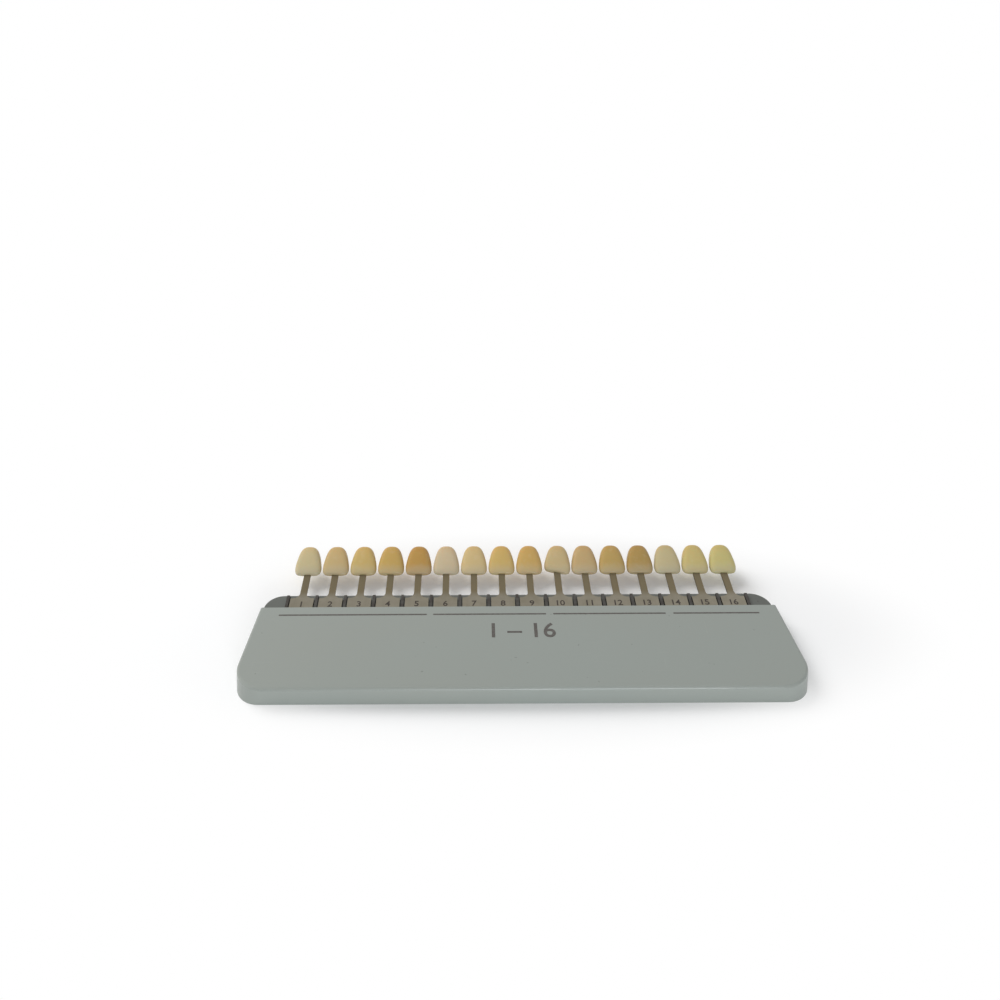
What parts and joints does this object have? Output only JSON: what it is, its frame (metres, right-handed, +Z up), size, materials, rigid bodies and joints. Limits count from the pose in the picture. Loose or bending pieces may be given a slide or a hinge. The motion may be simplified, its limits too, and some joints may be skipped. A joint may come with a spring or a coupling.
{
  "type": "dental shade guide",
  "caption": "Flat two-shell holder gripping a row of pull-out sample tabs, each a metal tag and neck with a porcelain tooth, for matching tooth colour.",
  "frame": {"origin": "middle of the whole guide's footprint, on the surface it lies on", "axes": "+X along the row of tabs, +Y out of the holder's mouth towards the teeth, +Z up"},
  "size_m": [0.1826, 0.0654, 0.0099],
  "materials": {
    "front_cover": "satin light grey",
    "back_shell": "satin dark grey",
    "spring_comb": "bright rolled",
    "cover_screws": "zinc plated",
    "tab_stem": "satin nickel silver",
    "shade_01": "glazed porcelain",
    "shade_02": "glazed porcelain",
    "shade_03": "glazed porcelain",
    "shade_04": "glazed porcelain",
    "shade_05": "glazed porcelain",
    "shade_06": "glazed porcelain",
    "shade_07": "glazed porcelain",
    "shade_08": "glazed porcelain",
    "shade_09": "glazed porcelain",
    "shade_10": "glazed porcelain",
    "shade_11": "glazed porcelain",
    "shade_12": "glazed porcelain",
    "shade_13": "glazed porcelain",
    "shade_14": "glazed porcelain",
    "shade_15": "glazed porcelain",
    "shade_16": "glazed porcelain"
  },
  "bodies": {
    "holder": {"front_cover": "front_cover", "back_shell": "back_shell", "spring_comb": "spring_comb", "cover_screws": "cover_screws"},
    "tab_01": {"tab_01_stem": "tab_stem", "tab_01_tooth": "shade_01"},
    "tab_02": {"tab_02_stem": "tab_stem", "tab_02_tooth": "shade_02"},
    "tab_03": {"tab_03_stem": "tab_stem", "tab_03_tooth": "shade_03"},
    "tab_04": {"tab_04_stem": "tab_stem", "tab_04_tooth": "shade_04"},
    "tab_05": {"tab_05_stem": "tab_stem", "tab_05_tooth": "shade_05"},
    "tab_06": {"tab_06_stem": "tab_stem", "tab_06_tooth": "shade_06"},
    "tab_07": {"tab_07_stem": "tab_stem", "tab_07_tooth": "shade_07"},
    "tab_08": {"tab_08_stem": "tab_stem", "tab_08_tooth": "shade_08"},
    "tab_09": {"tab_09_stem": "tab_stem", "tab_09_tooth": "shade_09"},
    "tab_10": {"tab_10_stem": "tab_stem", "tab_10_tooth": "shade_10"},
    "tab_11": {"tab_11_stem": "tab_stem", "tab_11_tooth": "shade_11"},
    "tab_12": {"tab_12_stem": "tab_stem", "tab_12_tooth": "shade_12"},
    "tab_13": {"tab_13_stem": "tab_stem", "tab_13_tooth": "shade_13"},
    "tab_14": {"tab_14_stem": "tab_stem", "tab_14_tooth": "shade_14"},
    "tab_15": {"tab_15_stem": "tab_stem", "tab_15_tooth": "shade_15"},
    "tab_16": {"tab_16_stem": "tab_stem", "tab_16_tooth": "shade_16"}
  },
  "joints": [
    {"name": "tab_01_pull", "type": "slide", "parent": "holder", "child": "tab_01", "axis": [0, 1, 0], "range_m": [0, 0.031]},
    {"name": "tab_02_pull", "type": "slide", "parent": "holder", "child": "tab_02", "axis": [0, 1, 0], "range_m": [0, 0.031]},
    {"name": "tab_03_pull", "type": "slide", "parent": "holder", "child": "tab_03", "axis": [0, 1, 0], "range_m": [0, 0.031]},
    {"name": "tab_04_pull", "type": "slide", "parent": "holder", "child": "tab_04", "axis": [0, 1, 0], "range_m": [0, 0.031]},
    {"name": "tab_05_pull", "type": "slide", "parent": "holder", "child": "tab_05", "axis": [0, 1, 0], "range_m": [0, 0.031]},
    {"name": "tab_06_pull", "type": "slide", "parent": "holder", "child": "tab_06", "axis": [0, 1, 0], "range_m": [0, 0.031]},
    {"name": "tab_07_pull", "type": "slide", "parent": "holder", "child": "tab_07", "axis": [0, 1, 0], "range_m": [0, 0.031]},
    {"name": "tab_08_pull", "type": "slide", "parent": "holder", "child": "tab_08", "axis": [0, 1, 0], "range_m": [0, 0.031]},
    {"name": "tab_09_pull", "type": "slide", "parent": "holder", "child": "tab_09", "axis": [0, 1, 0], "range_m": [0, 0.031]},
    {"name": "tab_10_pull", "type": "slide", "parent": "holder", "child": "tab_10", "axis": [0, 1, 0], "range_m": [0, 0.031]},
    {"name": "tab_11_pull", "type": "slide", "parent": "holder", "child": "tab_11", "axis": [0, 1, 0], "range_m": [0, 0.031]},
    {"name": "tab_12_pull", "type": "slide", "parent": "holder", "child": "tab_12", "axis": [0, 1, 0], "range_m": [0, 0.031]},
    {"name": "tab_13_pull", "type": "slide", "parent": "holder", "child": "tab_13", "axis": [0, 1, 0], "range_m": [0, 0.031]},
    {"name": "tab_14_pull", "type": "slide", "parent": "holder", "child": "tab_14", "axis": [0, 1, 0], "range_m": [0, 0.031]},
    {"name": "tab_15_pull", "type": "slide", "parent": "holder", "child": "tab_15", "axis": [0, 1, 0], "range_m": [0, 0.031]},
    {"name": "tab_16_pull", "type": "slide", "parent": "holder", "child": "tab_16", "axis": [0, 1, 0], "range_m": [0, 0.031]}
  ]
}
